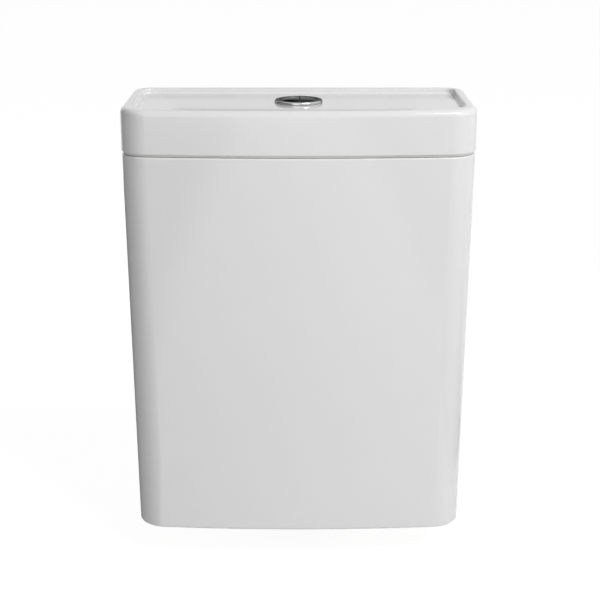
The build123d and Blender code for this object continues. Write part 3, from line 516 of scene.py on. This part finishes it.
def thread_ridge(shape, place, radius, depth, pitch, low_z, high_z, steps=16):
    """One closed ridge of triangular section that winds up round a bar."""
    root = place[0] + radius - depth * ridge_foot_share
    width = pitch * ridge_width_share
    corners = [(root, 0.0), (place[0] + radius, width / 2), (root, width)]
    verts = [shape.verts.new((x, place[1], low_z + rise)) for x, rise in corners]
    edges = [shape.edges.new((verts[i], verts[(i + 1) % 3])) for i in range(3)]
    turns = (high_z - low_z) / pitch - 1.0
    total = int(turns * steps)
    made = bmesh.ops.spin(
        shape, geom=verts + edges, cent=(*place, 0.0), axis=(0.0, 0.0, 1.0),
        dvec=(0.0, 0.0, pitch / steps), angle=2.0 * pi * total / steps, steps=total,
    )["geom_last"]
    shape.faces.new(verts)
    shape.faces.new(points_in(made))


riser_white = moulded("riser_white_acetal", acetal_dark, acetal_light, 0.36, fill_x)
fill_white = moulded("fill_valve_white", acetal_dark, acetal_light, 0.33, fill_x)
fill_blue = moulded("fill_valve_blue", blue_dark, blue_light, 0.40, fill_x)
root_r = shank_r - shank_depth
shape = bmesh.new()
turned_bar(shape, (fill_x, 0.0), [
    (shank_bore_r, shank_low_z), (root_r - shank_lead, shank_low_z),
    (root_r, shank_low_z + shank_lead), (root_r, flange_low_z),
    (flange_r - flange_edge, flange_low_z), (flange_r, flange_low_z + flange_edge),
    (flange_r, flange_high_z - flange_edge), (flange_r - flange_edge, flange_high_z),
    (riser_r + flange_edge, flange_high_z), (riser_r, flange_high_z + flange_edge),
    (riser_r, riser_high_z), (riser_bore_r, riser_high_z), (riser_bore_r, flange_high_z),
    (shank_bore_r, flange_high_z),
], steps=64, ring=True)
thread_ridge(shape, (fill_x, 0.0), shank_r, shank_depth, shank_pitch, shank_low_z + shank_lead,
             flange_low_z, steps=32)
riser = own_piece("threaded_riser", shape, riser_white, "cistern", sharp=30.0)
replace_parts(riser, "fill_valve_riser")
dress(riser_white, "fill_valve_riser")
dress(fill_white, "fill_valve_head", "fill_valve_backnut", "delivery_tube")
dress(fill_blue, "fill_valve_cap")
dress(black_rubber, "fill_diaphragm")


# Inlet filter: a blue strainer pushed into the mouth of the shank. A sleeve of woven
# stainless gauze inside it keeps grit out of the valve.
gauze_r = 0.0045
gauze_t = 0.0001
gauze_low_z, gauze_high_z = -0.029, -0.0105
gauze_sides = 48
wire_step = 0.0006
wire_depth = 0.00015
wire_dark, wire_light = (0.42, 0.42, 0.41), (0.60, 0.60, 0.58)


def gauze(name, middle_x):
    """Woven steel wire: open squares between wires that wind round and run along."""
    material, start = new_finish(name)
    spot = start.place()
    around = spot.maths("ARCTAN2", spot.axis("Y"), spot.axis("X") - middle_x) * gauze_r
    along_wire = spot.maths("PINGPONG", around, wire_step / 2) * (2.0 / wire_step)
    round_wire = spot.maths("PINGPONG", spot.axis("Z"), wire_step / 2) * (2.0 / wire_step)
    wires = spot.maths("MAXIMUM", along_wire, round_wire)
    coat(start, wires.tint(wire_dark, wire_light), 0.3 + wires * 0.05, wires.bumped(wire_depth),
         Metallic=1.0, Alpha=wires.above(0.5, width=0.1))
    return material


steel_gauze = gauze("steel_gauze", fill_x)
shape = bmesh.new()
bmesh.ops.create_circle(shape, cap_ends=False, radius=gauze_r, segments=gauze_sides)
bmesh.ops.translate(shape, vec=(fill_x, 0.0, gauze_low_z), verts=shape.verts)
grown = bmesh.ops.extrude_edge_only(shape, edges=shape.edges)["geom"]
bmesh.ops.translate(shape, vec=(0.0, 0.0, gauze_high_z - gauze_low_z), verts=points_in(grown))
bmesh.ops.recalc_face_normals(shape, faces=shape.faces)
bmesh.ops.solidify(shape, geom=shape.faces, thickness=gauze_t)
own_piece("filter_gauze", shape, steel_gauze, "cistern")
dress(fill_blue, "inlet_filter")


# Fill valve float and lever: a grey cup float slides on the riser and lifts a thin rod,
# whose two clipped collars tip the lever on its steel pin and press the valve shut.
float_weld_z = 0.1785
float_grey = moulded(
    "float_grey_polypropylene", slate_dark, slate_light, 0.42, fill_x, float_weld_z
)
lever_grey = moulded("lever_grey_acetal", slate_dark, slate_light, 0.34, fill_x, sparkle=0.1)
dress(float_grey, "fill_float")
dress(lever_grey, "float_lever")
dress(fill_white, "float_rod")
dress(fill_blue, "float_rod_collars")
dress(zinc, "float_lever_pin")


# Blanking plug: closes the second inlet hole. A white moulded bolt with a crossed grip,
# a rubber washer inside the tank and a nut under it.
plug_x = 0.115
plug_white = moulded("plug_white_acetal", acetal_dark, acetal_light, 0.38, plug_x)
dress(plug_white, "blanking_plug", "blanking_nut")


# Pan fixing studs: two zinc-plated M8 hex bolts from inside the tank, with a rolled thread,
# a rubber cone washer, steel washers and a chamfered nut each.
stud_x = 0.075
stud_r = 0.004
stud_thread_depth = 0.0005
stud_pitch = 0.00125
stud_low_z, stud_high_z = -0.036, 0.0196
stud_lead = 0.0006
stud_thread_start, stud_thread_end = 0.0008, 0.0004
stud_head_t = 0.0055
stud_flat_r = 0.0065
stud_flat_edge = 0.0006
stud_nut_low_z, stud_nut_high_z = -0.0081, -0.0016


def hex_block(shape, place, flat_r, low_z, high_z, edge):
    """Hexagonal bar end with its rims turned off, standing at a place."""
    radius = flat_r / cos(pi / 6)
    made = bmesh.ops.create_circle(shape, cap_ends=True, radius=radius, segments=6)["verts"]
    bmesh.ops.translate(shape, vec=(*place, low_z), verts=made)
    foot = list({face for vert in made for face in vert.link_faces})
    grown = bmesh.ops.extrude_face_region(shape, geom=foot, use_keep_orig=True)["geom"]
    top = points_in(grown)
    bmesh.ops.translate(shape, vec=(0.0, 0.0, high_z - low_z), verts=top)
    rims = [e for e in {e for v in made + top for e in v.link_edges}
            if abs(e.verts[0].co.z - e.verts[1].co.z) < edge]
    bmesh.ops.bevel(shape, geom=rims, offset=edge, offset_type="OFFSET", affect="EDGES",
                    segments=2, profile=0.5, material=-1)


for side, name in ((-1.0, "pan_stud_left"), (1.0, "pan_stud_right")):
    place = (side * stud_x, 0.0)
    root_r = stud_r - stud_thread_depth
    shape = bmesh.new()
    turned_bar(shape, place, [
        (0.0, stud_low_z), (root_r - stud_lead, stud_low_z), (root_r, stud_low_z + stud_lead),
        (root_r, stud_high_z), (0.0, stud_high_z),
    ])
    thread_ridge(shape, place, stud_r, stud_thread_depth, stud_pitch,
                 stud_low_z + stud_thread_start, stud_high_z - stud_thread_end)
    head_high_z = stud_high_z + stud_head_t
    hex_block(shape, place, stud_flat_r, stud_high_z, head_high_z, stud_flat_edge)
    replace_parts(own_piece(name, shape, zinc, "cistern", 30.0), "pan_studs")
for side, name in ((-1.0, "stud_nut_left"), (1.0, "stud_nut_right")):
    place = (side * stud_x, 0.0)
    shape = bmesh.new()
    hex_block(shape, place, stud_flat_r, stud_nut_low_z, stud_nut_high_z, stud_flat_edge)
    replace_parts(own_piece(name, shape, zinc, "cistern", 30.0), "stud_nuts")
dress(zinc, "pan_studs", "stud_nuts", "stud_washers")
dress(black_rubber, "stud_cone_washers")


# Lid: vitreous china, cast with a raised rim round a sunk deck and a lip that drops inside
# the casting. Its wiped foot rests on four thin rubber pads that leave the shadow gap.
lid_bare_z = 0.3906
pad_dark, pad_light = (0.05, 0.05, 0.052), (0.09, 0.09, 0.092)
lid_glaze = china("lid_glaze", lid_bare_z)
pad_rubber = rubber("pad_rubber", pad_dark, pad_light, 0.55)
dress(lid_glaze, "cistern_lid")
dress(pad_rubber, "lid_pads")


# Button housing: a chromed bezel moulded in one with its grey threaded sleeve, on a pale
# foam gasket, pulled down by a lobed ring nut under the deck.
glance_tone = 0.16
chrome_dark, chrome_light = (0.56, 0.565, 0.57), (0.62, 0.625, 0.63)
foam_dark, foam_pale = (0.58, 0.58, 0.57), (0.68, 0.68, 0.67)
sleeve_rough = 0.42
chrome_peel_depth = 0.000001
bezel_plate_z = 0.4268


def plated(name, dark, light, rough, plate_z):
    """Polished chrome plate above a height, and the sleeve's bare plastic below it. The
    plate turns dark where it is seen at a glancing angle."""
    material, start = new_finish(name)
    spot = start.place()
    plate = spot.axis("Z").above(plate_z, width=0.0002)
    haze = spot.noise(scale=60.0, detail=4.0)
    peel = spot.noise(scale=700.0, detail=1.0)
    colour = plate.tint(haze.tint(slate_dark, slate_light), haze.tint(dark, light))
    polish = sleeve_rough - plate * (sleeve_rough - rough) + haze * 0.03
    coat(start, colour, polish, peel.bumped(chrome_peel_depth), Metallic=plate,
         Specular_Tint=grey(glance_tone))
    return material


bezel_chrome = plated("bezel_chrome", chrome_dark, chrome_light, 0.03, bezel_plate_z)
ring_acetal = moulded("ring_nut_acetal", acetal_dark, acetal_light, 0.36)
pale_foam = rubber("pale_foam", foam_dark, foam_pale, 0.8, 1800.0, 0.05)
dress(bezel_chrome, "button_bezel")
dress(ring_acetal, "bezel_ring_nut")
dress(pale_foam, "bezel_gasket")


# Push buttons: two chromed halves of one shallow dome, the larger for a full flush.
# Each crown is ground and plated on its plastic plate, and rides with it.
crown_r = 0.0179
crown_foot_z = 0.4289
crown_edge_z = 0.42902
crown_rise = 0.0008
crown_rings = 10
crown_sides = 96
split_x = 0.001
split_gap = 0.00072
cut_gap = 0.0000001
button_plate_z = 0.4180
button_chrome = plated("button_chrome", chrome_dark, chrome_light, 0.02, button_plate_z)
dome_r = (crown_r ** 2 + crown_rise ** 2) / (2.0 * crown_rise)
dome_z = crown_edge_z + crown_rise - dome_r
reach = [crown_r * ring / crown_rings for ring in range(crown_rings + 1)]
dome = [(radius, dome_z + (dome_r ** 2 - radius ** 2) ** 0.5) for radius in reach]
for side, name, body in ((-1.0, "full_button_crown", "full_button"),
                         (1.0, "half_button_crown", "half_button")):
    shape = bmesh.new()
    turned_bar(shape, (0.0, 0.0), dome, crown_sides)
    bmesh.ops.remove_doubles(shape, verts=shape.verts, dist=weld_gap)
    geom = list(shape.verts) + list(shape.edges) + list(shape.faces)
    cut = (split_x + side * split_gap, 0.0, 0.0)
    bmesh.ops.bisect_plane(shape, geom=geom, dist=cut_gap, plane_co=cut, plane_no=(side, 0.0, 0.0),
                           clear_inner=True)
    rim = [edge for edge in shape.edges if edge.is_boundary]
    grown = bmesh.ops.extrude_edge_only(shape, edges=rim)["geom"]
    foot = Matrix.Translation((0.0, 0.0, -crown_foot_z))
    bmesh.ops.scale(shape, vec=(1.0, 1.0, 0.0), space=foot, verts=points_in(grown))
    rim = [edge for edge in shape.edges if edge.is_boundary]
    bmesh.ops.holes_fill(shape, edges=rim, sides=0)
    own_piece(name, shape, button_chrome, body, sharp=25.0)
dress(button_chrome, "full_flush_button", "half_flush_button")


# Return springs: drawn stainless wire wound round each button's stem, with a closed coil at
# both ends. They stand between the sleeve's floor and the button.
wire_r = 0.00045
wire_sides = 10
coil_r = 0.0049
spring_x = 0.0085
spring_y = -0.0055
spring_low_z, spring_high_z = 0.3993, 0.4263
coil_steps = 24
open_turns = 6
closed_rise = 0.00092
steel_dark, steel_light = (0.40, 0.40, 0.40), (0.56, 0.56, 0.55)
spring_steel = metal("spring_steel", steel_dark, steel_light, 0.24, 900.0, 0.12, 0.006)
open_rise = (spring_high_z - spring_low_z - 2.0 * wire_r - 2.0 * closed_rise) / open_turns
for side, name, body in ((-1.0, "full_button_coil", "full_button"),
                         (1.0, "half_button_coil", "half_button")):
    shape = bmesh.new()
    centre = (side * spring_x, spring_y, 0.0)
    end_cap = bmesh.ops.create_circle(shape, cap_ends=True, radius=wire_r, segments=wire_sides)
    ring = end_cap["verts"]
    upright_ring = Matrix.Rotation(pi / 2, 3, "X")
    bmesh.ops.rotate(shape, verts=ring, cent=(0.0, 0.0, 0.0), matrix=upright_ring)
    first = (centre[0] + coil_r, spring_y, spring_low_z + wire_r)
    bmesh.ops.translate(shape, vec=first, verts=ring)
    geom = ring + list({edge for vert in ring for edge in vert.link_edges})
    for turns, rise in ((1, closed_rise), (open_turns, open_rise), (1, closed_rise)):
        geom = bmesh.ops.spin(
            shape, geom=geom, cent=centre, axis=(0.0, 0.0, 1.0), dvec=(0.0, 0.0, rise / coil_steps),
            angle=2.0 * pi * turns, steps=coil_steps * turns,
        )["geom_last"]
    shape.faces.new(points_in(geom))
    coil = own_piece(name, shape, spring_steel, None, sharp=60.0)
    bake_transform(coil)
    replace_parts(coil, name.replace("coil", "spring"))
dress(spring_steel, "full_button_spring", "half_button_spring")


# Push rods: white acetal rods with a moulded thread, screwed into the button stems to set
# their length and held by a grey lock nut. A ball end presses on each rocker.
rod_r = 0.0025
rod_thread_depth = 0.0004
rod_pitch = 0.0008
rod_tip_z = 0.3159
rod_tip_r = 0.003
rod_neck_z = 0.31758
rod_plain_z = 0.3360
rod_taper = 0.0005
rod_high_z = 0.4050
ball_sweep, ball_step = 120, 12
rod_sides, rod_thread_sides = 24, 12
rod_nut_flat_r = 0.0045
rod_nut_edge = 0.0004
rod_nut_low_z, rod_nut_high_z = 0.379, 0.383
rod_acetal = moulded("push_rod_acetal", acetal_dark, acetal_light, 0.34, spring_x)
lock_nut_grey = moulded("lock_nut_grey", slate_dark, slate_light, 0.36, sparkle=0.1)
root_r = rod_r - rod_thread_depth
ball = [(rod_tip_r * sin(radians(turn)), rod_tip_z - rod_tip_r * cos(radians(turn)))
        for turn in range(0, ball_sweep + 1, ball_step)]
for side, name, body in ((-1.0, "full", "full_button"), (1.0, "half", "half_button")):
    place = (side * spring_x, spring_y)
    shape = bmesh.new()
    turned_bar(shape, place, ball + [
        (rod_r, rod_neck_z), (rod_r, rod_plain_z), (root_r, rod_plain_z + rod_taper),
        (root_r, rod_high_z), (0.0, rod_high_z),
    ], rod_sides)
    thread_ridge(shape, place, rod_r, rod_thread_depth, rod_pitch, rod_plain_z, rod_high_z,
                 rod_thread_sides)
    rod = own_piece(name + "_threaded_rod", shape, rod_acetal, body, sharp=35.0)
    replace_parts(rod, name + "_push_rod")
    shape = bmesh.new()
    hex_block(shape, place, rod_nut_flat_r, rod_nut_low_z, rod_nut_high_z, rod_nut_edge)
    nut = own_piece(name + "_lock_nut", shape, lock_nut_grey, body, sharp=30.0)
    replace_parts(nut, name + "_rod_nut")
dress(rod_acetal, "full_push_rod", "half_push_rod")
dress(lock_nut_grey, "full_rod_nut", "half_rod_nut")
